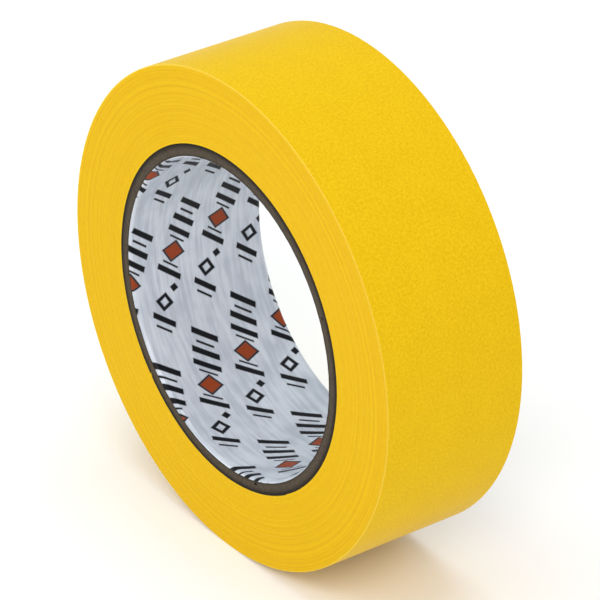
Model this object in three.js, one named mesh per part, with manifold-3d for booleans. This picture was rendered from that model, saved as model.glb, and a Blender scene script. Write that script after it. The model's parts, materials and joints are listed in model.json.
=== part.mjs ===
// A roll of masking tape: one long strip of crepe paper wound on a spiral-wound board core.
//
// Millimetres, +Z up. The roll stands on its tread like a wheel, with its axis along Y. The origin is
// on the surface that it stands on, under the middle of the roll.
//
// Everything round is built on one angular grid, so that layers that lie on each other stay parallel
// facet by facet. A grid angle is measured from +X towards +Z, and no grid line points straight down:
// the roll rests on the middle of a facet.

import * as THREE from 'three';
import { mergeVertices } from 'three/addons/utils/BufferGeometryUtils.js';
import Module from 'manifold-3d';

const wasm = await Module();
wasm.setup();

// Driving dimensions of the roll.
const ROLL_RADIUS = 60;
const ROLL_WIDTH = 37.5;
const BORE_RADIUS = 38.1;
const CORE_RADIUS = 41.55;
const TAPE_THICKNESS = 0.12;

// The core: a printed paper liner inside, and board plies of equal thickness around it. Each one is a
// strip wound on a slant, so that its two edges meet in one seam that runs round the core as it crosses.
// The slant is the angle between the seam and the rim of the core. A seam's place is the grid angle at
// which it crosses the middle of the width, and the seams of two neighbours are one step apart.
const LINER_THICKNESS = 0.35;
const PLY_COUNT = 5;
const GLUE_LINE = 0.02;
const SEAM_SLANT = THREE.MathUtils.degToRad(20.2);
const SEAM_OPENING = 0.4;
const LINER_SEAM = THREE.MathUtils.degToRad(12.5);
const SEAM_STEP = THREE.MathUtils.degToRad(100);
const SEAM_CUT_STEPS = 20;
const SEAM_CUT_MARGIN = 1;

// The angular grid, in facets. The loose end of the tape leaves the roll at the root and stops at the
// tip, and it bends at a joint every few facets.
const FACET_COUNT = 72;
const ROOT_FACET = 32;
const TAPE_END_PIECES = 5;
const FACETS_PER_PIECE = 2;
const TIP_FACET = ROOT_FACET + TAPE_END_PIECES * FACETS_PER_PIECE;

// Clearances: under the loose end, and between two pieces of it, as a share of one facet.
const LAY_CLEARANCE = 0.02;
const JOINT_CLEARANCE = 0.01;

const FACET_ANGLE = (2 * Math.PI) / FACET_COUNT;
const BOTTOM_FACET = (3 * FACET_COUNT) / 4;

const tapeMaterial = new THREE.MeshStandardMaterial({ color: 0xf0c12c, roughness: 0.62, metalness: 0 });
const boardMaterial = new THREE.MeshStandardMaterial({ color: 0x5a5044, roughness: 0.9, metalness: 0 });
const linerMaterial = new THREE.MeshStandardMaterial({ color: 0xb4bdc9, roughness: 0.42, metalness: 0.25 });

function gridPoint(facet, radius) {
  const angle = (facet + 0.5) * FACET_ANGLE;
  return new THREE.Vector2(radius * Math.cos(angle), radius * Math.sin(angle));
}

// The outer surface of the tape gains one thickness over one turn, from just past the tip round to the
// top of the tip itself.
function turnRadius(facet) {
  const share = (facet - TIP_FACET) / FACET_COUNT;
  return ROLL_RADIUS - TAPE_THICKNESS * (1 - share);
}

function facetsBetween(first, last) {
  const count = last - first + 1;
  return Array.from({ length: count }, (_, step) => first + step);
}

function circlePath(radius) {
  const corners = facetsBetween(0, FACET_COUNT - 1).map((facet) => gridPoint(facet, radius));
  return new THREE.Path(corners);
}

// A flat outline, drawn looking along +Y with +X to the right and +Z up, made as wide as the roll.
function widthOf(outline) {
  const settings = { depth: ROLL_WIDTH, bevelEnabled: false, curveSegments: 1 };
  const geometry = new THREE.ExtrudeGeometry(outline, settings);
  geometry.rotateX(Math.PI / 2);
  geometry.translate(0, ROLL_WIDTH / 2, 0);
  return geometry;
}

function toSolid(geometry) {
  geometry.deleteAttribute('normal');
  geometry.deleteAttribute('uv');
  const merged = mergeVertices(geometry);
  const vertProperties = Float32Array.from(merged.attributes.position.array);
  const triVerts = Uint32Array.from(merged.index.array);
  return new wasm.Manifold(new wasm.Mesh({ numProp: 3, vertProperties, triVerts }));
}

function toGeometry(solid) {
  const mesh = solid.getMesh();
  const geometry = new THREE.BufferGeometry();
  geometry.setAttribute('position', new THREE.BufferAttribute(mesh.vertProperties, 3));
  geometry.setIndex(new THREE.BufferAttribute(mesh.triVerts, 1));
  geometry.computeVertexNormals();
  return geometry;
}

// The slanting gap between the two edges of one strip of the core: a tall thin box that stands off the
// axis and is twisted about it.
function seamCutter(innerRadius, outerRadius, seamAngle) {
  const middle = (innerRadius + outerRadius) / 2;
  const depth = outerRadius - innerRadius + 2 * SEAM_CUT_MARGIN;
  const height = ROLL_WIDTH + 2 * SEAM_CUT_MARGIN;
  const cutter = new THREE.BoxGeometry(depth, height, SEAM_OPENING, 1, SEAM_CUT_STEPS, 1);
  cutter.translate(middle, 0, 0);
  const turnPerWidth = 1 / (middle * Math.tan(SEAM_SLANT));
  const corners = cutter.attributes.position;
  const axis = new THREE.Vector3(0, 1, 0);
  const corner = new THREE.Vector3();
  for (let index = 0; index < corners.count; index += 1) {
    corner.fromBufferAttribute(corners, index);
    corner.applyAxisAngle(axis, turnPerWidth * corner.y - seamAngle);
    corners.setXYZ(index, corner.x, corner.y, corner.z);
  }
  return cutter;
}

function coreStrip(name, material, innerRadius, outerRadius, seamAngle) {
  const outline = new THREE.Shape(circlePath(outerRadius).getPoints());
  outline.holes.push(circlePath(innerRadius));
  const tube = toSolid(widthOf(outline));
  const strip = tube.subtract(toSolid(seamCutter(innerRadius, outerRadius, seamAngle)));
  const mesh = new THREE.Mesh(toGeometry(strip), material);
  mesh.name = name;
  return mesh;
}

function makeCore() {
  const plyThickness = (CORE_RADIUS - BORE_RADIUS - LINER_THICKNESS) / PLY_COUNT;
  const linerOutside = BORE_RADIUS + LINER_THICKNESS;
  const liner = coreStrip('core_liner', linerMaterial, BORE_RADIUS, linerOutside - GLUE_LINE, LINER_SEAM);
  const strips = [liner];
  for (let ply = 1; ply <= PLY_COUNT; ply += 1) {
    const inside = linerOutside + (ply - 1) * plyThickness;
    const outside = inside + plyThickness - GLUE_LINE;
    const seamAngle = LINER_SEAM + ply * SEAM_STEP;
    strips.push(coreStrip(`core_ply_${ply}`, boardMaterial, inside, outside, seamAngle));
  }
  return strips;
}

// All the turns that are stuck down. Where the loose end lies on it, the surface is one layer lower.
function makeWoundTape() {
  const lastTurn = ROOT_FACET + FACET_COUNT;
  const top = facetsBetween(TIP_FACET, lastTurn).map((facet) => gridPoint(facet, turnRadius(facet)));
  const under = facetsBetween(lastTurn, TIP_FACET + FACET_COUNT).map((facet) => {
    const layer = TAPE_THICKNESS + LAY_CLEARANCE;
    return gridPoint(facet, turnRadius(facet) - layer);
  });
  const outline = new THREE.Shape([...top, ...under]);
  outline.holes.push(circlePath(CORE_RADIUS));
  const mesh = new THREE.Mesh(widthOf(outline), tapeMaterial);
  mesh.name = 'wound_tape';
  return mesh;
}

// One piece of the loose end, between two of its bending lines.
function makeTapeEndPiece(number) {
  const first = ROOT_FACET + FACET_COUNT + (number - 1) * FACETS_PER_PIECE;
  const facets = facetsBetween(first, first + FACETS_PER_PIECE);
  const outside = facets.map((facet) => gridPoint(facet, turnRadius(facet)));
  const inside = facets.map((facet) => gridPoint(facet, turnRadius(facet) - TAPE_THICKNESS));
  for (const side of [outside, inside]) {
    side[0].lerp(side[1], JOINT_CLEARANCE);
  }
  const mesh = new THREE.Mesh(widthOf(new THREE.Shape([...outside, ...inside.reverse()])), tapeMaterial);
  mesh.name = `tape_end_${number}`;
  return mesh;
}

function makeRoll() {
  const roll = new THREE.Group();
  roll.add(...makeCore());
  roll.add(makeWoundTape());
  for (let number = 1; number <= TAPE_END_PIECES; number += 1) {
    roll.add(makeTapeEndPiece(number));
  }
  roll.position.z = -gridPoint(BOTTOM_FACET, turnRadius(BOTTOM_FACET)).y;
  return roll;
}

const group = new THREE.Group();
group.add(makeRoll());

export default group;
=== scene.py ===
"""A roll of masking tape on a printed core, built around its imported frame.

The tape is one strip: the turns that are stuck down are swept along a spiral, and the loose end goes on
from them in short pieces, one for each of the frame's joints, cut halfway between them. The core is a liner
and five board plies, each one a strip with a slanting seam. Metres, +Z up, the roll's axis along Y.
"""

import json
import math

import bmesh
import bpy
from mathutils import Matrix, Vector, noise


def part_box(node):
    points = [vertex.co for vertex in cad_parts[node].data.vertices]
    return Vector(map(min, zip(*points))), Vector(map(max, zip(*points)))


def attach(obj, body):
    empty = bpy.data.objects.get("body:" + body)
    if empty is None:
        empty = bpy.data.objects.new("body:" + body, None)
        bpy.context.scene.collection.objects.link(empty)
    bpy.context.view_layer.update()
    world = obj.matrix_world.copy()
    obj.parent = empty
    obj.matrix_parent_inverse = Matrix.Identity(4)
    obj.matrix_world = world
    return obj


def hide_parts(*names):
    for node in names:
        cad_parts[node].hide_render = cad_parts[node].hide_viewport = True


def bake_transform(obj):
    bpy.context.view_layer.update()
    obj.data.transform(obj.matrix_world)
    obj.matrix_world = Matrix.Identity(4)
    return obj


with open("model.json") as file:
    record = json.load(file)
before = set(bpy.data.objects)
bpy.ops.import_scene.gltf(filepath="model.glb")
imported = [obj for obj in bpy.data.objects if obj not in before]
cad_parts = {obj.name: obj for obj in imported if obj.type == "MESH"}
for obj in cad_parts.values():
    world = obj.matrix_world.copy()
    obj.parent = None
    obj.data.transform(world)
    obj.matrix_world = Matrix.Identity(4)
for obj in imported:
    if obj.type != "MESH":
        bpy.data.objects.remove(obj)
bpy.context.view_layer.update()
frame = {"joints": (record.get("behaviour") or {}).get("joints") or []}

bl_info = {
    "name": "Masking Tape Roll",
    "version": (1, 0, 0),
    "blender": (4, 5, 0),
    "location": "3D View > Sidebar > Tape Roll",
    "description": "Winds a roll of masking tape on its printed core and sets it on a plain stage",
    "category": "Object",
}

MILLIMETRE = 0.001
CAD_FACETS = 72
PLY_COUNT = 5
CORNER_TO_FLAT = math.cos(math.pi / CAD_FACETS)


# ---------------------------------------------------------------- places that come from the frame


def axis_height():
    """Height of the roll's axis, from the box of its liner."""
    low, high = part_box("core_liner")
    return (low.z + high.z) / 2


AXIS = Vector((0, 0, axis_height()))


def outer_radius(node):
    """Outer radius of a round CAD node, out to the corners of its facets."""
    low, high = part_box(node)
    return (high.z - low.z) / 2 / CORNER_TO_FLAT


def roll_width():
    low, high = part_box("wound_tape")
    return high.y - low.y


def joint_angle(joint):
    """Grid angle of a joint of the loose end, from +X towards +Z, in radians."""
    place = Vector(joint["pos_m"]) - AXIS
    return math.atan2(place.z, place.x) % (2 * math.pi)


BENDS = [joint_angle(joint) for joint in frame["joints"]]
ROOT_ANGLE = BENDS[0]
BEND_STEP = BENDS[1] - BENDS[0]
TIP_ANGLE = BENDS[-1] + BEND_STEP
ROOT_RADIUS = (Vector(frame["joints"][0]["pos_m"]) - AXIS).length
WIDTH = roll_width()
CORE_RADIUS = outer_radius(f"core_ply_{PLY_COUNT}")
LINER_OUTSIDE = outer_radius("core_liner")


def display_colour(red, green, blue):
    """Linear colour from display values of 0 to 255."""
    shares = [value / 255 for value in (red, green, blue)]
    return tuple(s / 12.92 if s <= 0.04045 else ((s + 0.055) / 1.055) ** 2.4 for s in shares)


# ---------------------------------------------------------------- settings


def length(name, default, description):
    return bpy.props.FloatProperty(
        name=name, description=description, default=default, unit="LENGTH", precision=5
    )


def angle(name, degrees, description):
    return bpy.props.FloatProperty(
        name=name, description=description, default=math.radians(degrees), subtype="ANGLE"
    )


def colour(name, values, description):
    return bpy.props.FloatVectorProperty(
        name=name, description=description, default=display_colour(*values), subtype="COLOR", size=3
    )


def share(name, default, description):
    return bpy.props.FloatProperty(
        name=name, description=description, default=default, subtype="FACTOR", min=0, max=1
    )


def power(name, default, description):
    return bpy.props.FloatProperty(
        name=name, description=description, default=default, subtype="POWER", min=0
    )


class TapeSettings(bpy.types.PropertyGroup):
    """The strip of tape and how it is wound."""

    thickness: length("Layer", 0.00012, "How much the roll's radius grows with each turn")
    air: length("Air", 0.000002, "What is left between two turns")
    steps_per_turn: bpy.props.IntProperty(
        name="Steps per turn", description="Stations of the spiral in one turn", default=120, min=24
    )
    wander: length("Wander", 0.00005, "How far the edge of one turn strays from its neighbours")
    sway: length("Sway", 0.00006, "How far a group of turns strays from the middle")
    rim_setback: length("Rim setback", 0.00016, "How far the last turn is pushed in at each edge")
    rim_turns: bpy.props.FloatProperty(
        name="Rim turns", description="Turns over which the pushed-in rim fades out", default=3.0, min=0.1
    )
    tear_depth: length("Tear depth", 0.0005, "How rough the torn end of the tape is")
    backing: colour("Backing", (217, 174, 6), "The yellow crepe paper")
    backing_light: colour("Light backing", (230, 191, 20), "The paler fibres of the paper")
    edge: colour("Cut edge", (223, 181, 4), "The slit edges of the turns")
    edge_dark: colour("Dark cut edge", (210, 163, 0), "The lines between groups of turns")
    # The rim colour is a painted highlight: it stands in for light caught along the edges of the strip and
    # on the slit edges of the last turns.
    rim: colour("Rim", (240, 212, 88), "The fuzzy fibres along the edge of the last turn")
    adhesive: colour("Adhesive", (232, 190, 84), "The glossy underside of the loose end")


class CoreSettings(bpy.types.PropertyGroup):
    """The paper tube that the tape is wound on."""

    liner_thickness: length("Liner", 0.00033, "Thickness of the printed liner")
    glue_line: length("Glue line", 0.00002, "What is left between two plies")
    seam_slant: angle("Seam slant", 20.2, "Angle between a strip's seam and the rim of the core")
    seam_opening: length("Seam opening", 0.0004, "Gap between the two edges of one strip")
    liner_seam: angle("Liner seam", 12.5, "Where the liner's seam crosses the middle of the width")
    seam_step: angle("Seam step", 100, "How far each ply's seam is turned from the one before")
    flare: length("Flare", 0.00055, "How far the liner is pressed outward at each mouth of the bore")
    flare_thickness: length("Flare thickness", 0.00018, "Thickness of the liner where it is pressed")
    roughness: length("Roughness", 0.00005, "How rough the sawn ends of the plies are")
    board: colour("Board", (60, 51, 40), "The grey-brown board")
    # The dark board colour is also painted shade: the darker band at the outside of the core's wall, next to
    # the tape.
    board_dark: colour("Dark board", (32, 26, 20), "The glue-soaked outside of the board")
    # The light board colour makes the middle of the core's wall lighter than its two sides.
    board_light: colour("Light board", (82, 72, 60), "The looser middle of the board")


class PrintSettings(bpy.types.PropertyGroup):
    """The silver liner and the pattern printed on it."""

    repeat: length("Repeat", 0.0408, "Length of the pattern along a row")
    row_pitch: length("Row pitch", 0.0106, "Distance from row to row")
    row_shift: length("Row shift", 0.0089, "How far the pattern moves along from row to row")
    start_angle: angle("Start angle", 227.7, "Where round the bore one diamond of the pattern lies")
    start_place: length("Start place", 0.0054, "Where across the width that diamond lies")
    silver: colour("Silver", (212, 218, 226), "The metallised paper")
    silver_dark: colour("Dark silver", (186, 193, 203), "The streaks of the paper")
    ink: colour("Ink", (12, 13, 19), "The dark ink")
    accent: colour("Accent", (146, 62, 26), "The rust-coloured ink")


class StageSettings(bpy.types.PropertyGroup):
    """The floor, the lights and the camera."""

    azimuth: angle("Azimuth", 53.50, "The camera's turn round the roll, from -Y towards +X")
    elevation: angle("Elevation", 29.42, "The camera's height above the horizon")
    distance: length("Distance", 1.020, "From the middle of the roll to the camera")
    lens: bpy.props.FloatProperty(
        name="Lens", description="Focal length in millimetres", default=268.74, min=10
    )
    shift_x: bpy.props.FloatProperty(name="Shift X", description="Sideways lens shift", default=0.0120)
    shift_y: bpy.props.FloatProperty(name="Shift Y", description="Upward lens shift", default=-0.0060)
    floor: colour("Floor", (250, 250, 250), "The plain pale floor")
    key_power: power("Key power", 5.04, "The soft light in front at the right")
    top_power: power("Top power", 4.4, "The soft light above")
    front_power: power("Front power", 5.8, "The soft light in front at the left")
    back_power: power("Back power", 0.48, "The weak light behind at the right")
    surround: share("Surround", 0.6, "Brightness of the pale room")
    warm: colour("Warm light", (255, 246, 246), "Tint of the key and of the light behind")
    cool: colour("Cool light", (246, 255, 255), "Tint of the light above and of the front light")


class TapeRollSettings(bpy.types.PropertyGroup):
    """Everything that the operators read."""

    tape: bpy.props.PointerProperty(type=TapeSettings, name="Tape", description="The strip of tape")
    core: bpy.props.PointerProperty(type=CoreSettings, name="Core", description="The paper tube")
    liner: bpy.props.PointerProperty(type=PrintSettings, name="Liner", description="The printed liner")
    stage: bpy.props.PointerProperty(type=StageSettings, name="Stage", description="Floor and lights")


# ---------------------------------------------------------------- node helpers


def add_node(tree, kind, **properties):
    made = tree.nodes.new(kind)
    for name, value in properties.items():
        setattr(made, name, value)
    return made


def feed(tree, value, socket):
    """Gives a socket a plain value, or links it to the socket that makes the value."""
    if isinstance(value, bpy.types.NodeSocket):
        tree.links.new(value, socket)
    else:
        socket.default_value = value


def calc(tree, operation, *values, clamp=False):
    """A Math node, and its result."""
    made = add_node(tree, "ShaderNodeMath", operation=operation, use_clamp=clamp)
    for value, socket in zip(values, made.inputs):
        feed(tree, value, socket)
    return made.outputs[0]


def ramp(tree, value, start, end, low=0.0, high=1.0):
    """A smooth step of the value from start to end."""
    made = add_node(tree, "ShaderNodeMapRange", interpolation_type="SMOOTHSTEP")
    for given, socket in zip((value, start, end, low, high), made.inputs):
        feed(tree, given, socket)
    return made.outputs[0]


def mix(tree, factor, first, second):
    """A colour between two others."""
    made = add_node(tree, "ShaderNodeMix", data_type="RGBA")
    feed(tree, factor, made.inputs["Factor"])
    feed(tree, first, made.inputs[6])
    feed(tree, second, made.inputs[7])
    return made.outputs[2]


def opaque(values):
    return (*values, 1.0)


def combine(tree, x, y, z):
    made = add_node(tree, "ShaderNodeCombineXYZ")
    for value, socket in zip((x, y, z), made.inputs):
        feed(tree, value, socket)
    return made.outputs[0]


def separate(tree, vector):
    """The three parts of a vector."""
    made = add_node(tree, "ShaderNodeSeparateXYZ")
    tree.links.new(vector, made.inputs[0])
    return made.outputs


def noise_of(tree, vector, scale, detail=2.0, roughness=0.5, dimensions="3D"):
    """A Noise Texture node's factor at a vector, or at a number for one dimension."""
    made = add_node(tree, "ShaderNodeTexNoise", noise_dimensions=dimensions)
    feed(tree, vector, made.inputs["W" if dimensions == "1D" else "Vector"])
    made.inputs["Scale"].default_value = scale
    made.inputs["Detail"].default_value = detail
    made.inputs["Roughness"].default_value = roughness
    return made.outputs[0]


def bump(tree, height, distance, strength=1.0):
    made = add_node(tree, "ShaderNodeBump")
    made.inputs["Strength"].default_value = strength
    made.inputs["Distance"].default_value = distance
    tree.links.new(height, made.inputs["Height"])
    return made.outputs[0]


def attribute(tree, name):
    return add_node(tree, "ShaderNodeAttribute", attribute_name=name)


def object_place(tree):
    """The Object coordinates."""
    return add_node(tree, "ShaderNodeTexCoord").outputs["Object"]


def new_material(name):
    """A material with one Principled shader, its tree and that shader."""
    made = bpy.data.materials.new(name)
    made.use_nodes = True
    tree = made.node_tree
    return made, tree, tree.nodes["Principled BSDF"]


# ---------------------------------------------------------------- materials of the tape

# Noise scales are in waves per metre, or per turn for the rings. Reliefs and reaches are in metres.
CREPE_SCALE = 1500.0
CREPE_FIBRE_SCALE = 4200.0
CREPE_FIBRE_STRETCH = 0.45
CREPE_CLOUD_SCALE = 160.0
CREPE_RELIEF = 0.00002
# How far in from each edge of the strip the painted highlight reaches.
EDGE_HIGHLIGHT_REACH = 0.00028
RING_SCALE = 0.5
RING_GROUP_SCALE = 0.13
SPECK_SCALE = 1300.0
RING_RELIEF = 0.00003
# Turns from the rim over which the painted highlight on the slit edges fades out.
RIM_HIGHLIGHT_TURNS = 3.2
RIPPLE_SCALE = 900.0
RIPPLE_RELIEF = 0.00004


def strip_place(tree):
    """Length along the strip and place across it, in metres. The number of the turn gives the length."""
    turn = attribute(tree, "turn").outputs["Fac"]
    along = calc(tree, "MULTIPLY", turn, 2 * math.pi * ROOT_RADIUS)
    across = separate(tree, object_place(tree))[1]
    return along, across


def near_edge(tree, across, reach):
    """1 at the two edges of the strip, falling to 0 at a distance of reach."""
    inset = calc(tree, "SUBTRACT", WIDTH / 2, calc(tree, "ABSOLUTE", across))
    return ramp(tree, inset, 0.0, reach, 1.0, 0.0)


def backing_material(tape):
    """Crepe paper: mottled yellow with short fibres, and a painted highlight in a pale colour along the
    edges.
    """
    made, tree, shader = new_material("tape_backing")
    along, across = strip_place(tree)
    flat = combine(tree, along, across, 0.0)
    stretched = combine(tree, calc(tree, "MULTIPLY", along, CREPE_FIBRE_STRETCH), across, 0.0)
    mottle = noise_of(tree, flat, CREPE_SCALE, 3.0, 0.65)
    fibre = noise_of(tree, stretched, CREPE_FIBRE_SCALE, 2.0, 0.6)
    cloud = noise_of(tree, flat, CREPE_CLOUD_SCALE, 2.0, 0.5)
    grain = calc(tree, "ADD", calc(tree, "MULTIPLY", mottle, 0.6), calc(tree, "MULTIPLY", fibre, 0.4))
    grain = calc(tree, "ADD", grain, calc(tree, "MULTIPLY", calc(tree, "SUBTRACT", cloud, 0.5), 0.1))
    paper = mix(
        tree, ramp(tree, grain, 0.38, 0.64), opaque(tape.backing), opaque(tape.backing_light)
    )
    # Painted highlight along the two edges of the strip.
    edge_highlight = calc(tree, "MULTIPLY", near_edge(tree, across, EDGE_HIGHLIGHT_REACH), 0.85)
    tree.links.new(mix(tree, edge_highlight, paper, opaque(tape.rim)), shader.inputs["Base Color"])
    tree.links.new(ramp(tree, grain, 0.3, 0.7, 0.62, 0.74), shader.inputs["Roughness"])
    tree.links.new(bump(tree, grain, CREPE_RELIEF, 0.5), shader.inputs["Normal"])
    shader.inputs["Specular IOR Level"].default_value = 0.08
    shader.inputs["Sheen Weight"].default_value = 0.14
    shader.inputs["Sheen Roughness"].default_value = 0.3
    return made


def edge_material(tape):
    """The slit edges of the turns: fine rings, some lighter and some darker, that drift along the strip, and
    a painted highlight on the last turns.
    """
    made, tree, shader = new_material("tape_slit_edge")
    turn = attribute(tree, "turn").outputs["Fac"]
    single = noise_of(tree, turn, RING_SCALE, 1.0, 0.5, "1D")
    group = noise_of(tree, turn, RING_GROUP_SCALE, 1.0, 0.6, "1D")
    speck = noise_of(tree, object_place(tree), SPECK_SCALE, 2.0, 0.6)
    lines = calc(tree, "ADD", calc(tree, "MULTIPLY", single, 0.6), calc(tree, "MULTIPLY", group, 0.2))
    lines = calc(tree, "ADD", lines, calc(tree, "MULTIPLY", speck, 0.2))
    paper = mix(tree, ramp(tree, lines, 0.36, 0.64), opaque(tape.edge_dark), opaque(tape.edge))
    # Painted highlight: the slit edges of the last turns are paled towards the rim colour.
    last = attribute(tree, "from_rim").outputs["Fac"]
    rim = calc(tree, "MULTIPLY", ramp(tree, last, 0.0, RIM_HIGHLIGHT_TURNS, 1.0, 0.0), 0.8)
    tree.links.new(mix(tree, rim, paper, opaque(tape.rim)), shader.inputs["Base Color"])
    tree.links.new(bump(tree, lines, RING_RELIEF, 0.6), shader.inputs["Normal"])
    shader.inputs["Roughness"].default_value = 0.7
    shader.inputs["Specular IOR Level"].default_value = 0.12
    return made


def adhesive_material(tape):
    """Rubber adhesive: glossy and slightly rippled, with some of the paper's yellow in its colour."""
    made, tree, shader = new_material("tape_adhesive")
    along, across = strip_place(tree)
    flat = combine(tree, along, across, 0.0)
    ripple = noise_of(tree, flat, RIPPLE_SCALE, 3.0, 0.55)
    paper = mix(tree, ramp(tree, ripple, 0.35, 0.65), opaque(tape.adhesive), opaque(tape.backing_light))
    tree.links.new(paper, shader.inputs["Base Color"])
    tree.links.new(ramp(tree, ripple, 0.3, 0.7, 0.2, 0.34), shader.inputs["Roughness"])
    tree.links.new(bump(tree, ripple, RIPPLE_RELIEF, 0.5), shader.inputs["Normal"])
    shader.inputs["Coat Weight"].default_value = 0.35
    shader.inputs["Coat Roughness"].default_value = 0.18
    return made


# ---------------------------------------------------------------- materials of the core

BOARD_FIBRE_SCALE = 5200.0
BOARD_FIBRE_STRETCH = 0.18
BOARD_ROUGH_SCALE = 1100.0
BOARD_RELIEF = 0.00006
STREAK_SCALE = 900.0
STREAK_STRETCH = 0.12
SILVER_CLOUD_SCALE = 130.0
SILVER_RELIEF = 0.00003


def board_material(core):
    """Grey-brown board: fibres that run round the core, painted shade in a darker band at the outside of the
    wall next to the tape, and a lighter middle.
    """
    made, tree, shader = new_material("core_board")
    place = attribute(tree, "strip").outputs["Vector"]
    along, across, depth = separate(tree, place)
    fibres = combine(tree, calc(tree, "MULTIPLY", along, BOARD_FIBRE_STRETCH), across, depth)
    fine = noise_of(tree, fibres, BOARD_FIBRE_SCALE, 3.0, 0.7)
    rough = noise_of(tree, place, BOARD_ROUGH_SCALE, 3.0, 0.6)
    wall = CORE_RADIUS - LINER_OUTSIDE
    level = calc(tree, "DIVIDE", calc(tree, "SUBTRACT", depth, LINER_OUTSIDE), wall)
    # Painted shade: darker towards the outside of the wall, where the core meets the tape.
    outside = ramp(tree, level, 0.45, 0.95)
    inside = ramp(tree, level, 0.28, 0.0)
    # Lighter in the middle of the wall, between the painted shade outside and the plain board colour towards
    # the liner.
    loose = calc(tree, "SUBTRACT", 1.0, calc(tree, "MAXIMUM", outside, inside))
    loose = calc(tree, "MULTIPLY", loose, ramp(tree, fine, 0.2, 0.8, 0.55, 1.0))
    base = mix(tree, outside, opaque(core.board), opaque(core.board_dark))
    base = mix(tree, loose, base, opaque(core.board_light))
    base = mix(tree, ramp(tree, rough, 0.42, 0.75, 0.0, 0.45), base, opaque(core.board_dark))
    tree.links.new(base, shader.inputs["Base Color"])
    texture = calc(tree, "ADD", fine, calc(tree, "MULTIPLY", rough, 0.8))
    tree.links.new(bump(tree, texture, BOARD_RELIEF, 0.7), shader.inputs["Normal"])
    shader.inputs["Roughness"].default_value = 0.88
    shader.inputs["Specular IOR Level"].default_value = 0.2
    return made


# Bars of the pattern: middle along the row, thickness and height. All of the pattern is in millimetres.
BARS = (
    (-12.6, 1.5, 7.0),
    (-10.3, 0.6, 4.6),
    (-8.1, 1.5, 7.0),
    (-5.0, 1.4, 7.0),
    (-3.2, 0.5, 4.6),
    (3.2, 0.5, 4.6),
    (5.0, 1.4, 7.0),
    (16.4, 1.4, 6.2),
    (18.5, 0.6, 4.2),
)
# How far a bar leans along the row for each millimetre across it.
BAR_LEAN = 0.32
# Diamonds: middle along the row, level across it, half length and half height, and the hole of a hollow one.
SOLID_DIAMONDS = ((8.6, 2.0, 1.1, 1.2),)
HOLLOW_DIAMONDS = ((12.2, -0.2, 2.3, 2.5, 1.15),)
# Half length and half height of the diamond in the accent ink and of the dark border round it.
ACCENT_SIZE = (2.3, 2.8)
BORDER_SIZE = (2.5, 3.0)
BORDER_HALF_WIDTH = 0.22
# Turns a share of a diamond's smaller half into a distance square to its side.
DIAMOND_SLOPE = 0.7
# How far the ink fades to each side of its outline.
PRINT_BLUR = 0.16


def bar(tree, p, q, middle, thickness, height):
    """Distance to a slanted bar that stands across the row, below zero inside it."""
    lean = calc(tree, "SUBTRACT", calc(tree, "SUBTRACT", p, middle), calc(tree, "MULTIPLY", q, BAR_LEAN))
    beside = calc(tree, "SUBTRACT", calc(tree, "ABSOLUTE", lean), thickness / 2)
    beyond = calc(tree, "SUBTRACT", calc(tree, "ABSOLUTE", q), height / 2)
    return calc(tree, "MAXIMUM", beside, beyond)


def diamond(tree, p, q, middle, level, half_length, half_height):
    """Distance to a diamond, below zero inside it."""
    sideways = calc(tree, "ABSOLUTE", calc(tree, "SUBTRACT", p, middle))
    upward = calc(tree, "ABSOLUTE", calc(tree, "SUBTRACT", q, level))
    sideways = calc(tree, "DIVIDE", sideways, half_length)
    upward = calc(tree, "DIVIDE", upward, half_height)
    reach = calc(tree, "SUBTRACT", calc(tree, "ADD", sideways, upward), 1.0)
    return calc(tree, "MULTIPLY", reach, min(half_length, half_height) * DIAMOND_SLOPE)


def pattern_masks(tree, liner, slant, bore_radius):
    """The generic pattern in rows parallel to the seam: masks of the dark ink and of the accent ink."""
    along, across, _ = separate(tree, attribute(tree, "strip").outputs["Vector"])
    s = calc(tree, "SUBTRACT", along, liner.start_angle * bore_radius)
    y = calc(tree, "SUBTRACT", across, liner.start_place)
    s = calc(tree, "DIVIDE", s, MILLIMETRE)
    y = calc(tree, "DIVIDE", y, MILLIMETRE)
    sine, cosine = math.sin(slant), math.cos(slant)
    forward = calc(tree, "SUBTRACT", calc(tree, "MULTIPLY", s, cosine), calc(tree, "MULTIPLY", y, sine))
    upward = calc(tree, "ADD", calc(tree, "MULTIPLY", s, sine), calc(tree, "MULTIPLY", y, cosine))
    pitch = liner.row_pitch / MILLIMETRE
    row = calc(tree, "ROUND", calc(tree, "DIVIDE", upward, pitch))
    q = calc(tree, "SUBTRACT", upward, calc(tree, "MULTIPLY", row, pitch))
    shifted = calc(tree, "ADD", forward, calc(tree, "MULTIPLY", row, liner.row_shift / MILLIMETRE))
    repeat = liner.repeat / MILLIMETRE
    p = calc(tree, "WRAP", shifted, repeat / 2, -repeat / 2)
    marks = [bar(tree, p, q, *size) for size in BARS]
    marks += [diamond(tree, p, q, *size) for size in SOLID_DIAMONDS]
    for middle, level, half_length, half_height, hole in HOLLOW_DIAMONDS:
        outline = diamond(tree, p, q, middle, level, half_length, half_height)
        inside = diamond(tree, p, q, middle, level, hole, hole)
        marks.append(calc(tree, "MAXIMUM", outline, calc(tree, "MULTIPLY", inside, -1.0)))
    accent = diamond(tree, p, q, 0.0, 0.0, *ACCENT_SIZE)
    border = calc(tree, "ABSOLUTE", diamond(tree, p, q, 0.0, 0.0, *BORDER_SIZE))
    ink = calc(tree, "SUBTRACT", border, BORDER_HALF_WIDTH)
    for mark in marks:
        ink = calc(tree, "MINIMUM", ink, mark)
    return (
        ramp(tree, ink, -PRINT_BLUR, PRINT_BLUR, 1.0, 0.0),
        ramp(tree, accent, -PRINT_BLUR, PRINT_BLUR, 1.0, 0.0),
    )


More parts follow.
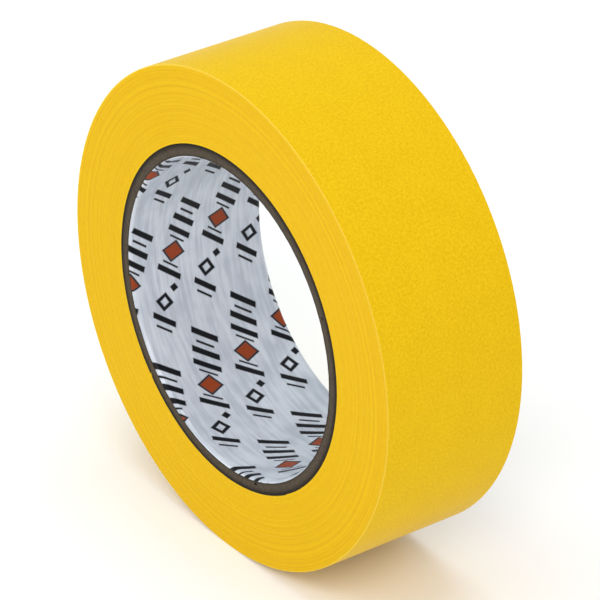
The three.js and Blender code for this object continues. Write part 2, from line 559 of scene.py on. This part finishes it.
def liner_material(core, liner, bore_radius):
    """Metallised paper, satin and slightly streaked along the strip, with the printed pattern."""
    made, tree, shader = new_material("liner_print")
    ink, accent = pattern_masks(tree, liner, core.seam_slant, bore_radius)
    place = attribute(tree, "strip").outputs["Vector"]
    turned = add_node(tree, "ShaderNodeMapping")
    turned.inputs["Rotation"].default_value = (0, 0, core.seam_slant)
    turned.inputs["Scale"].default_value = (STREAK_STRETCH, 1.0, 1.0)
    tree.links.new(place, turned.inputs["Vector"])
    streak = noise_of(tree, turned.outputs[0], STREAK_SCALE, 3.0, 0.6)
    cloud = noise_of(tree, place, SILVER_CLOUD_SCALE, 2.0, 0.5)
    tone = calc(tree, "ADD", calc(tree, "MULTIPLY", streak, 0.6), calc(tree, "MULTIPLY", cloud, 0.4))
    paper = mix(tree, ramp(tree, tone, 0.36, 0.64), opaque(liner.silver_dark), opaque(liner.silver))
    printed = mix(tree, accent, paper, opaque(liner.accent))
    printed = mix(tree, ink, printed, opaque(liner.ink))
    tree.links.new(printed, shader.inputs["Base Color"])
    inked = calc(tree, "MAXIMUM", ink, accent)
    tree.links.new(calc(tree, "MULTIPLY_ADD", inked, -0.2, 0.2), shader.inputs["Metallic"])
    tree.links.new(ramp(tree, tone, 0.3, 0.7, 0.34, 0.44), shader.inputs["Roughness"])
    tree.links.new(bump(tree, tone, SILVER_RELIEF, 0.5), shader.inputs["Normal"])
    shader.inputs["Specular IOR Level"].default_value = 0.15
    return made


# ---------------------------------------------------------------- the wound turns

# A face is a slit edge if its normal points at least this far along the roll's axis.
SIDE_NORMAL = 0.7
# How fast a turn strays from its neighbours, and a group of turns from the middle, in waves per turn.
WANDER_SCALE = 1.3
SWAY_SCALE = 0.17


def interface_input(tree, name, kind, default=None):
    made = tree.interface.new_socket(name=name, in_out="INPUT", socket_type=kind)
    if default is not None:
        made.default_value = default
    return made


def spiral_tree():
    """Geometry Nodes that sweep the section of the tape along a spiral and stand it on the roll's axis."""
    tree = bpy.data.node_groups.new("wind_tape", "GeometryNodeTree")
    tree.interface.new_socket(name="Geometry", in_out="OUTPUT", socket_type="NodeSocketGeometry")
    interface_input(tree, "Start Radius", "NodeSocketFloat", CORE_RADIUS)
    interface_input(tree, "End Radius", "NodeSocketFloat", ROOT_RADIUS)
    interface_input(tree, "Turns", "NodeSocketFloat", 10.0)
    interface_input(tree, "Steps per Turn", "NodeSocketInt", 120)
    interface_input(tree, "Thickness", "NodeSocketFloat", 0.0001)
    interface_input(tree, "Width", "NodeSocketFloat", WIDTH)
    interface_input(tree, "End Angle", "NodeSocketFloat", ROOT_ANGLE)
    interface_input(tree, "Axis Height", "NodeSocketFloat", AXIS.z)
    interface_input(tree, "Wander", "NodeSocketFloat", 0.0)
    interface_input(tree, "Sway", "NodeSocketFloat", 0.0)
    interface_input(tree, "Rim Setback", "NodeSocketFloat", 0.0)
    interface_input(tree, "Rim Turns", "NodeSocketFloat", 3.0)
    interface_input(tree, "Seed", "NodeSocketFloat", 17.0)
    interface_input(tree, "Backing", "NodeSocketMaterial")
    interface_input(tree, "Slit Edge", "NodeSocketMaterial")
    given = add_node(tree, "NodeGroupInput").outputs

    spiral = add_node(tree, "GeometryNodeCurveSpiral")
    tree.links.new(given["Steps per Turn"], spiral.inputs["Resolution"])
    tree.links.new(given["Turns"], spiral.inputs["Rotations"])
    tree.links.new(given["Start Radius"], spiral.inputs["Start Radius"])
    tree.links.new(given["End Radius"], spiral.inputs["End Radius"])
    spiral.inputs["Height"].default_value = 0.0
    spiral.inputs["Reverse"].default_value = True

    station = add_node(tree, "GeometryNodeSplineParameter").outputs["Index"]
    turn = calc(tree, "DIVIDE", station, given["Steps per Turn"])
    from_rim = calc(tree, "SUBTRACT", given["Turns"], turn)
    numbered = store(tree, spiral.outputs[0], "turn", turn)
    numbered = store(tree, numbered, "from_rim", from_rim)

    seeded = calc(tree, "ADD", turn, given["Seed"])
    stray = calc(tree, "SUBTRACT", noise_of(tree, seeded, WANDER_SCALE, 1.0, 0.5, "1D"), 0.5)
    drift = calc(tree, "SUBTRACT", noise_of(tree, seeded, SWAY_SCALE, 1.0, 0.5, "1D"), 0.5)
    offset = calc(tree, "MULTIPLY", stray, given["Wander"])
    offset = calc(tree, "MULTIPLY_ADD", drift, given["Sway"], offset)
    offset = calc(tree, "MULTIPLY", offset, 2.0)
    strayed = add_node(tree, "GeometryNodeSetPosition")
    tree.links.new(numbered, strayed.inputs["Geometry"])
    tree.links.new(combine(tree, 0.0, 0.0, offset), strayed.inputs["Offset"])

    upright = add_node(tree, "GeometryNodeSetCurveNormal", mode="Z_UP")
    tree.links.new(strayed.outputs[0], upright.inputs["Curve"])
    section = add_node(tree, "GeometryNodeCurvePrimitiveQuadrilateral")
    tree.links.new(given["Thickness"], section.inputs["Width"])
    tree.links.new(given["Width"], section.inputs["Height"])
    swept = add_node(tree, "GeometryNodeCurveToMesh")
    tree.links.new(upright.outputs[0], swept.inputs["Curve"])
    tree.links.new(section.outputs[0], swept.inputs["Profile Curve"])
    swept.inputs["Fill Caps"].default_value = True

    rimmed = push_in_rim(tree, swept.outputs[0], given["Rim Setback"], given["Rim Turns"])
    stood = add_node(tree, "GeometryNodeTransform")
    tree.links.new(rimmed, stood.inputs["Geometry"])
    tree.links.new(combine(tree, 0.0, 0.0, given["Axis Height"]), stood.inputs["Translation"])
    swing = calc(tree, "MULTIPLY", given["Turns"], 2 * math.pi)
    swing = calc(tree, "SUBTRACT", swing, given["End Angle"])
    tree.links.new(combine(tree, math.pi / 2, swing, 0.0), stood.inputs["Rotation"])

    realized = add_node(tree, "GeometryNodeRealizeInstances")
    tree.links.new(stood.outputs[0], realized.inputs[0])
    paper = add_node(tree, "GeometryNodeSetMaterial")
    tree.links.new(realized.outputs[0], paper.inputs["Geometry"])
    tree.links.new(given["Backing"], paper.inputs["Material"])
    normal = separate(tree, add_node(tree, "GeometryNodeInputNormal").outputs["True Normal"])
    sideways = calc(tree, "GREATER_THAN", calc(tree, "ABSOLUTE", normal[1]), SIDE_NORMAL)
    slit = add_node(tree, "GeometryNodeSetMaterial")
    tree.links.new(paper.outputs[0], slit.inputs["Geometry"])
    tree.links.new(sideways, slit.inputs["Selection"])
    tree.links.new(given["Slit Edge"], slit.inputs["Material"])
    result = add_node(tree, "NodeGroupOutput")
    tree.links.new(slit.outputs[0], result.inputs["Geometry"])
    return tree


def push_in_rim(tree, geometry, setback, rim_turns):
    """Moves the edges of the last turns towards the middle of the width."""
    z = separate(tree, add_node(tree, "GeometryNodeInputPosition").outputs[0])[2]
    last = add_node(tree, "GeometryNodeInputNamedAttribute", data_type="FLOAT")
    last.inputs["Name"].default_value = "from_rim"
    fade = ramp(tree, last.outputs["Attribute"], 0.0, rim_turns, 1.0, 0.0)
    inward = calc(tree, "MULTIPLY", calc(tree, "SIGN", z), -1.0)
    inward = calc(tree, "MULTIPLY", inward, calc(tree, "MULTIPLY", fade, setback))
    made = add_node(tree, "GeometryNodeSetPosition")
    tree.links.new(geometry, made.inputs["Geometry"])
    tree.links.new(combine(tree, 0.0, 0.0, inward), made.inputs["Offset"])
    return made.outputs[0]


def store(tree, geometry, name, value):
    """Keeps a number on every point under a name."""
    made = add_node(tree, "GeometryNodeStoreNamedAttribute", data_type="FLOAT", domain="POINT")
    made.inputs["Name"].default_value = name
    tree.links.new(geometry, made.inputs["Geometry"])
    feed(tree, value, made.inputs["Value"])
    return made.outputs[0]


def run_tree(context, name, tree, **values):
    """Runs a Geometry Nodes tree on an empty mesh and keeps the result as a plain mesh object."""
    piece = bpy.data.objects.new(name, bpy.data.meshes.new(name))
    context.scene.collection.objects.link(piece)
    modifier = piece.modifiers.new(tree.name, "NODES")
    modifier.node_group = tree
    inputs = [item for item in tree.interface.items_tree if item.in_out == "INPUT"]
    for item in inputs:
        key = item.name.lower().replace(" ", "_")
        if key in values:
            modifier[item.identifier] = values[key]
    graph = context.evaluated_depsgraph_get()
    shape = bpy.data.meshes.new_from_object(
        piece.evaluated_get(graph), preserve_all_data_layers=True, depsgraph=graph
    )
    piece.modifiers.remove(modifier)
    piece.data = shape
    return piece


def shade(mesh, sharp_degrees=30):
    """Smooth shading, but for the edges that are sharper than this."""
    mesh.polygons.foreach_set("use_smooth", [True] * len(mesh.polygons))
    mesh.set_sharp_from_angle(angle=math.radians(sharp_degrees))
    mesh.update()


def wound_turns(tape, core):
    """How many turns lie between the core and the root of the loose end."""
    first = CORE_RADIUS + core.glue_line + tape.thickness
    return (ROOT_RADIUS - first) / tape.thickness


class OBJECT_OT_wind_tape(bpy.types.Operator):
    """Wind the strip of tape on the core, up to the root of its loose end"""

    bl_idname = "object.wind_tape"
    bl_label = "Wind the tape"

    def execute(self, context):
        settings = context.scene.tape_roll
        tape = settings.tape
        turns = wound_turns(tape, settings.core)
        piece = run_tree(
            context,
            "tape_turns",
            spiral_tree(),
            start_radius=CORE_RADIUS + settings.core.glue_line + tape.thickness / 2,
            end_radius=ROOT_RADIUS - tape.thickness / 2,
            turns=turns,
            steps_per_turn=tape.steps_per_turn,
            thickness=tape.thickness - tape.air,
            width=WIDTH,
            end_angle=ROOT_ANGLE,
            axis_height=AXIS.z,
            wander=tape.wander,
            sway=tape.sway,
            rim_setback=tape.rim_setback,
            rim_turns=tape.rim_turns,
            backing=material("tape_backing"),
            slit_edge=material("tape_slit_edge"),
        )
        shade(piece.data)
        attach(piece, "roll")
        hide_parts("wound_tape")
        return {"FINISHED"}


# ---------------------------------------------------------------- thick sheets


class Sheet:
    """A closed thin body on a grid of columns and rows, with an outer and an inner face.

    place(column, row, inner) gives a point in metres, and marks(column, row, inner) gives what is kept on
    that point: a dictionary of numbers and vectors.
    """

    def __init__(self, columns, rows, place, marks):
        self.columns = columns
        self.rows = rows
        self.place = place
        self.marks = marks

    def index(self, column, row, inner):
        layer = (self.columns + 1) * (self.rows + 1)
        return column * (self.rows + 1) + row + (layer if inner else 0)

    def spots(self):
        for inner in (False, True):
            for column in range(self.columns + 1):
                for row in range(self.rows + 1):
                    yield column, row, inner

    def faces(self):
        """Each face with its kind: outer, inner, edge at the two sides, end at the two ends."""
        for column in range(self.columns):
            for row in range(self.rows):
                corners = ((column, row), (column + 1, row), (column + 1, row + 1), (column, row + 1))
                yield "outer", [self.index(c, r, False) for c, r in corners]
                yield "inner", [self.index(c, r, True) for c, r in reversed(corners)]
        for column in range(self.columns):
            for row in (0, self.rows):
                yield "edge", self.wall((column, row), (column + 1, row))
        for row in range(self.rows):
            for column in (0, self.columns):
                yield "end", self.wall((column, row), (column, row + 1))

    def wall(self, first, second):
        return [
            self.index(*first, False),
            self.index(*second, False),
            self.index(*second, True),
            self.index(*first, True),
        ]

    def build(self, context, name, materials):
        """Makes the object. materials gives a material for each kind of face."""
        spots = list(self.spots())
        faces = list(self.faces())
        mesh = bpy.data.meshes.new(name)
        mesh.from_pydata([self.place(*spot) for spot in spots], [], [corners for _, corners in faces])
        used = list(dict.fromkeys(materials.values()))
        for made in used:
            mesh.materials.append(made)
        mesh.polygons.foreach_set("material_index", [used.index(materials[kind]) for kind, _ in faces])
        keep_marks(mesh, [self.marks(*spot) for spot in spots])
        point_outwards(mesh)
        shade(mesh)
        piece = bpy.data.objects.new(name, mesh)
        context.scene.collection.objects.link(piece)
        return piece


def keep_marks(mesh, marks):
    """Stores each mark as a point attribute of its own name."""
    for name, sample in marks[0].items():
        is_vector = hasattr(sample, "__len__")
        kept = mesh.attributes.new(name, "FLOAT_VECTOR" if is_vector else "FLOAT", "POINT")
        values = [mark[name] for mark in marks]
        if is_vector:
            kept.data.foreach_set("vector", [number for value in values for number in value])
        else:
            kept.data.foreach_set("value", values)


def point_outwards(mesh):
    shape = bmesh.new()
    shape.from_mesh(mesh)
    bmesh.ops.recalc_face_normals(shape, faces=shape.faces)
    shape.to_mesh(mesh)
    shape.free()


def on_roll(grid_angle, radius, across):
    """The point at a grid angle and a radius of the roll, at a place across its width."""
    return AXIS + Vector((radius * math.cos(grid_angle), across, radius * math.sin(grid_angle)))


def tiny(seed, *place):
    """Smooth noise from -1 to 1 at a place, the same in each run."""
    return noise.noise(Vector((*place, seed)))


# ---------------------------------------------------------------- the loose end

END_COLUMNS = 20
END_ROWS = 60
# Coarse and fine waves per metre of the torn edge.
TEAR_COARSE = 900
TEAR_FINE = 2600


def loose_end_piece(context, number, tape, turns, first, last, is_tip):
    """The part of the loose end between two grid angles. The one at the tip has a torn edge."""
    half_width = WIDTH / 2 - tape.rim_setback
    strip = tape.thickness - tape.air

    def spot(column, row):
        share = column / END_COLUMNS
        across = half_width * (2 * row / END_ROWS - 1)
        reach = first + (last - first) * share
        if is_tip:
            rough = tiny(3.1, across * TEAR_COARSE, 0) + 0.6 * tiny(5.7, across * TEAR_FINE, 0)
            reach += rough * tape.tear_depth / ROOT_RADIUS * share**4
        return reach, across

    def place(column, row, inner):
        reach, across = spot(column, row)
        top = ROOT_RADIUS + tape.thickness * (reach - ROOT_ANGLE) / (2 * math.pi)
        return on_roll(reach, top - (strip if inner else 0), across)

    def marks(column, row, inner):
        reach, _ = spot(column, row)
        return {"turn": turns + (reach - ROOT_ANGLE) / (2 * math.pi), "from_rim": 0.0}

    paper = material("tape_backing")
    slit = material("tape_slit_edge")
    kinds = {"outer": paper, "inner": material("tape_adhesive"), "edge": slit, "end": slit}
    return Sheet(END_COLUMNS, END_ROWS, place, marks).build(context, f"tape_end_strip_{number}", kinds)


class OBJECT_OT_lay_loose_end(bpy.types.Operator):
    """Lay the loose end of the tape on the roll, in pieces cut halfway between the frame's joints"""

    bl_idname = "object.lay_loose_end"
    bl_label = "Lay the loose end"

    def execute(self, context):
        settings = context.scene.tape_roll
        turns = wound_turns(settings.tape, settings.core)
        middles = [bend + BEND_STEP / 2 for bend in BENDS[:-1]]
        cuts = [ROOT_ANGLE, *middles, TIP_ANGLE]
        for index, joint in enumerate(frame["joints"]):
            is_tip = index == len(BENDS) - 1
            piece = loose_end_piece(
                context, index + 1, settings.tape, turns, cuts[index], cuts[index + 1], is_tip
            )
            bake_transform(piece)
            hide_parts(joint["child"])
        return {"FINISHED"}


# ---------------------------------------------------------------- the core

CORE_COLUMNS = 200
CORE_ROWS = 52
# Rows that follow the pressed mouth at each end of the bore.
MOUTH_ROWS = 4
# Waves per metre of the sawn ends.
SAWN_SCALE = 900


def across_rows(half_width, mouth):
    """Places across the width, from one mouth of the bore to the other, closer together at the mouths."""
    near = [mouth * (1 - math.cos(math.pi / 2 * step / MOUTH_ROWS)) for step in range(MOUTH_ROWS + 1)]
    inner = CORE_ROWS - 2 * MOUTH_ROWS
    span = 2 * (half_width - mouth)
    middle = [mouth + span * step / inner for step in range(1, inner)]
    far = [2 * half_width - place for place in reversed(near)]
    return [place - half_width for place in (*near, *middle, *far)]


def core_strip(context, name, core, inside, outside, seam_angle, flare, kinds, seed):
    """One slant-wound strip of the core. flare(across) gives how far its two faces are pressed outward."""
    middle = (inside + outside) / 2
    turn_per_width = 1 / (middle * math.tan(core.seam_slant))
    opening = core.seam_opening / middle / math.sin(core.seam_slant)
    rows = across_rows(WIDTH / 2, core.flare * 2)

    def spot(column, row):
        across = rows[row]
        seam = seam_angle - across * turn_per_width
        return seam + opening / 2 + (2 * math.pi - opening) * column / CORE_COLUMNS, across

    def place(column, row, inner):
        reach, across = spot(column, row)
        coarse = middle * SAWN_SCALE
        rough = tiny(seed, coarse * math.cos(reach), coarse * math.sin(reach))
        if row in (0, CORE_ROWS):
            across += core.roughness * rough * (1 if row else -1)
        pressed_in, pressed_out = flare(abs(rows[row]))
        return on_roll(reach, inside + pressed_in if inner else outside + pressed_out, across)

    def marks(column, row, inner):
        reach, across = spot(column, row)
        return {"strip": (reach * inside, across, inside if inner else outside)}

    return Sheet(CORE_COLUMNS, CORE_ROWS, place, marks).build(context, name, kinds)


class OBJECT_OT_roll_core(bpy.types.Operator):
    """Roll the core: the printed liner and the board plies around it"""

    bl_idname = "object.roll_core"
    bl_label = "Roll the core"

    def execute(self, context):
        core = context.scene.tape_roll.core
        board = material("core_board")
        printed = material("liner_print")
        bore = LINER_OUTSIDE - core.liner_thickness
        mouth = WIDTH / 2 - core.flare * 2

        def press(across, amount):
            share = max(0.0, across - mouth) / (core.flare * 2)
            return amount * share * share

        def liner_flare(across):
            thinned = core.liner_thickness - core.flare_thickness
            return press(across, core.flare), press(across, core.flare - thinned)

        def first_ply_flare(across):
            return press(across, core.flare - core.liner_thickness + core.flare_thickness), 0.0

        def flat(across):
            return 0.0, 0.0

        kinds = {"outer": board, "inner": printed, "edge": board, "end": board}
        liner = core_strip(
            context, "core_liner_strip", core, bore, LINER_OUTSIDE, core.liner_seam, liner_flare, kinds, 1.5
        )
        self.keep(liner, "core_liner", "liner")
        inside = LINER_OUTSIDE + core.glue_line
        for ply in range(1, PLY_COUNT + 1):
            outside = outer_radius(f"core_ply_{ply}")
            strip = core_strip(
                context,
                f"core_ply_strip_{ply}",
                core,
                inside,
                outside,
                core.liner_seam + ply * core.seam_step,
                first_ply_flare if ply == 1 else flat,
                dict.fromkeys(kinds, board),
                1.5 + ply,
            )
            self.keep(strip, f"core_ply_{ply}", "board")
            inside = outside + core.glue_line
        return {"FINISHED"}

    def keep(self, piece, node, slot):
        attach(piece, "roll")
        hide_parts(node)


# ---------------------------------------------------------------- materials as one step


def material(name):
    found = bpy.data.materials.get(name)
    if found is None:
        raise RuntimeError(f"the material {name} has to be made first")
    return found


class OBJECT_OT_mix_tape_materials(bpy.types.Operator):
    """Make the paper, the slit edge, the adhesive, the board and the printed liner"""

    bl_idname = "object.mix_tape_materials"
    bl_label = "Mix the materials"

    def execute(self, context):
        settings = context.scene.tape_roll
        backing_material(settings.tape)
        edge_material(settings.tape)
        adhesive_material(settings.tape)
        board_material(settings.core)
        bore = LINER_OUTSIDE - settings.core.liner_thickness
        liner_material(settings.core, settings.liner, bore)
        return {"FINISHED"}


# ---------------------------------------------------------------- the stage

FLOOR_RADIUS = 6.0
FLOOR_CLEARANCE = 0.00008


def add_floor(context, stage):
    """One large pale disc under the roll."""
    shape = bmesh.new()
    bmesh.ops.create_circle(shape, cap_ends=True, segments=96, radius=FLOOR_RADIUS)
    mesh = bpy.data.meshes.new("stage_floor")
    shape.to_mesh(mesh)
    shape.free()
    for vertex in mesh.vertices:
        vertex.co.z = -FLOOR_CLEARANCE
    made, _, shader = new_material("stage_floor")
    shader.inputs["Base Color"].default_value = opaque(stage.floor)
    shader.inputs["Roughness"].default_value = 0.9
    shader.inputs["Specular IOR Level"].default_value = 0.1
    mesh.materials.append(made)
    floor = bpy.data.objects.new("stage_floor", mesh)
    context.scene.collection.objects.link(floor)


def add_soft_light(context, name, place, size, watts, tint):
    """A square area light that looks at the middle of the roll."""
    data = bpy.data.lights.new(name, "AREA")
    data.size = size
    data.energy = watts
    data.color = tint
    lamp = bpy.data.objects.new(name, data)
    lamp.location = AXIS + Vector(place)
    lamp.rotation_mode = "QUATERNION"
    lamp.rotation_quaternion = Vector(place).to_track_quat("Z", "Y")
    context.scene.collection.objects.link(lamp)


def add_camera(context, stage):
    back = Vector(
        (
            math.sin(stage.azimuth) * math.cos(stage.elevation),
            -math.cos(stage.azimuth) * math.cos(stage.elevation),
            math.sin(stage.elevation),
        )
    )
    data = bpy.data.cameras.new("camera")
    data.sensor_width = 36
    data.lens = stage.lens
    data.shift_x = stage.shift_x
    data.shift_y = stage.shift_y
    camera = bpy.data.objects.new("camera", data)
    camera.location = AXIS + back * stage.distance
    camera.rotation_mode = "QUATERNION"
    camera.rotation_quaternion = back.to_track_quat("Z", "Y")
    context.scene.collection.objects.link(camera)
    context.scene.camera = camera


def add_surround(context, stage):
    """A plain pale room."""
    world = bpy.data.worlds.new("pale_room")
    world.use_nodes = True
    shader = world.node_tree.nodes["Background"]
    shader.inputs["Color"].default_value = (1, 1, 1, 1)
    shader.inputs["Strength"].default_value = stage.surround
    context.scene.world = world


class OBJECT_OT_set_tape_stage(bpy.types.Operator):
    """Set the floor, the soft lights and the camera"""

    bl_idname = "object.set_tape_stage"
    bl_label = "Set the stage"

    def execute(self, context):
        stage = context.scene.tape_roll.stage
        add_floor(context, stage)
        add_surround(context, stage)
        # Places are from the middle of the roll. They and the sizes are in metres.
        add_soft_light(context, "key", (0.75, -0.55, 0.75), 0.6, stage.key_power, stage.warm)
        add_soft_light(context, "top", (0.0, 0.1, 1.1), 0.8, stage.top_power, stage.cool)
        add_soft_light(context, "front", (-0.7, -0.85, 0.45), 0.7, stage.front_power, stage.cool)
        add_soft_light(context, "back", (0.75, 0.85, 0.5), 0.7, stage.back_power, stage.warm)
        add_camera(context, stage)
        context.scene.view_settings.view_transform = "Standard"
        return {"FINISHED"}


# ---------------------------------------------------------------- the panel and the run


class VIEW3D_PT_tape_roll(bpy.types.Panel):
    """The steps that make the roll, in order"""

    bl_label = "Masking Tape Roll"
    bl_idname = "VIEW3D_PT_tape_roll"
    bl_space_type = "VIEW_3D"
    bl_region_type = "UI"
    bl_category = "Tape Roll"

    def draw(self, context):
        column = self.layout.column(align=True)
        for operator in OPERATORS:
            column.operator(operator.bl_idname)


OPERATORS = (
    OBJECT_OT_set_tape_stage,
    OBJECT_OT_mix_tape_materials,
    OBJECT_OT_wind_tape,
    OBJECT_OT_lay_loose_end,
    OBJECT_OT_roll_core,
)
GROUPS = (TapeSettings, CoreSettings, PrintSettings, StageSettings, TapeRollSettings)


def register():
    for made in (*GROUPS, *OPERATORS, VIEW3D_PT_tape_roll):
        bpy.utils.register_class(made)
    bpy.types.Scene.tape_roll = bpy.props.PointerProperty(type=TapeRollSettings)


def unregister():
    del bpy.types.Scene.tape_roll
    for made in reversed((*GROUPS, *OPERATORS, VIEW3D_PT_tape_roll)):
        bpy.utils.unregister_class(made)


def corners(box):
    return [list(corner) for corner in box]


def main():
    register()
    bpy.ops.object.set_tape_stage()
    bpy.ops.object.mix_tape_materials()
    bpy.ops.object.wind_tape()
    bpy.ops.object.lay_loose_end()
    bpy.ops.object.roll_core()


if __name__ == "__main__":
    main()
